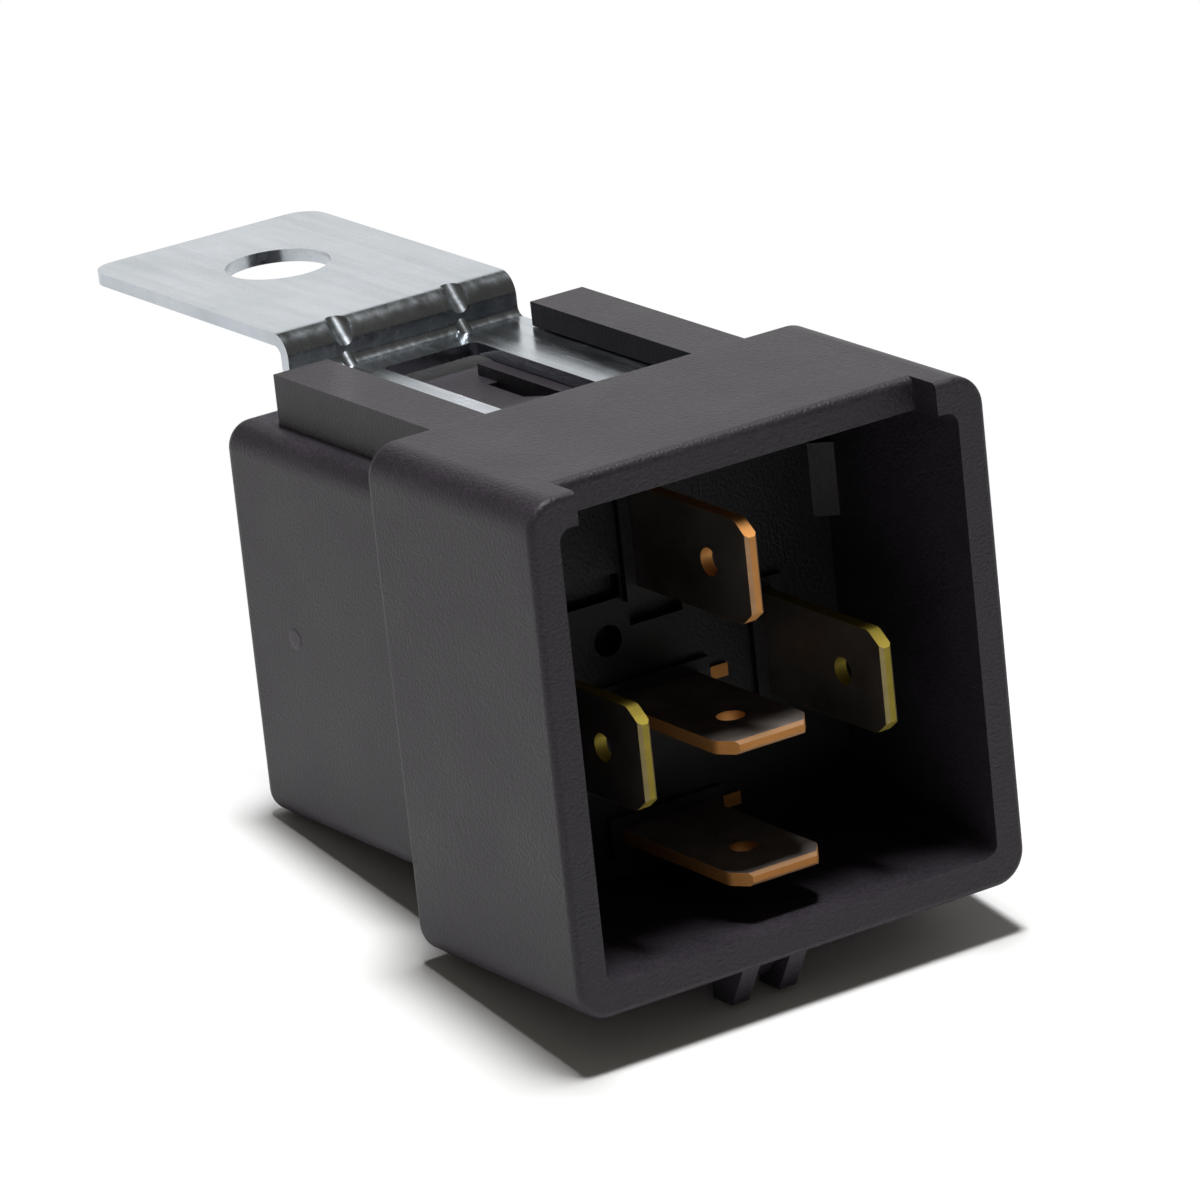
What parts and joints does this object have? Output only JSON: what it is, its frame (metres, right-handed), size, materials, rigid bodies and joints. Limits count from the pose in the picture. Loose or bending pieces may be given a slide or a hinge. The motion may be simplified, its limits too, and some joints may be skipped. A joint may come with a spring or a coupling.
{
  "type": "automotive relay",
  "caption": "Black changeover automotive relay with five flat blades inside an open skirt, a snapped-on zinc-plated mounting bracket and its coil, armature and contacts inside.",
  "frame": {"origin": "centre of the blade pattern on the base's outer face", "axes": "+Y runs from the blades through the case to the bracket's tab, +Z to the side that carries the bracket, +X to the right as the skirt's mouth is seen"},
  "size_m": [0.0314, 0.0605, 0.0342],
  "materials": {
    "cover_plastic": "finely grained, soft sheen",
    "base_plastic": "smooth moulded",
    "bobbin_plastic": "smooth moulded",
    "zinc_steel": "bright bluish zinc plating with faint rolling lines",
    "terminal_brass": "dulled faces, bright sheared edges",
    "contact_silver": "satin silver alloy",
    "magnet_steel": "satin nickel plating",
    "rivet_steel": "satin",
    "spring_bronze": "rolled bronze strip",
    "copper_wire": "varnished copper wire"
  },
  "bodies": {
    "root": {"cover": "cover_plastic", "base": "base_plastic", "bracket": "zinc_steel", "terminal_30": "terminal_brass", "terminal_85": "terminal_brass", "terminal_86": "terminal_brass", "terminal_87": "terminal_brass", "terminal_87a": "terminal_brass", "contact_open": "contact_silver", "contact_closed": "contact_silver", "yoke": "magnet_steel", "yoke_rivet_left": "rivet_steel", "yoke_rivet_right": "rivet_steel", "core": "magnet_steel", "bobbin": "bobbin_plastic", "coil_winding": "copper_wire", "coil_lead_85": "copper_wire", "coil_lead_86": "copper_wire"},
    "moving_armature": {"armature": "magnet_steel", "contact_spring": "spring_bronze", "armature_rivet_left": "rivet_steel", "armature_rivet_right": "rivet_steel", "moving_contact": "contact_silver"}
  },
  "joints": [
    {"name": "armature_hinge", "type": "hinge", "parent": "root", "child": "moving_armature", "pos_m": [0, 0.018, 0.01115], "axis": [-1, 0, 0], "range_deg": [0, 3], "stiffness_Nm_per_rad": 0.01, "springref_deg": -28.65, "deforming": ["contact_spring"]}
  ]
}
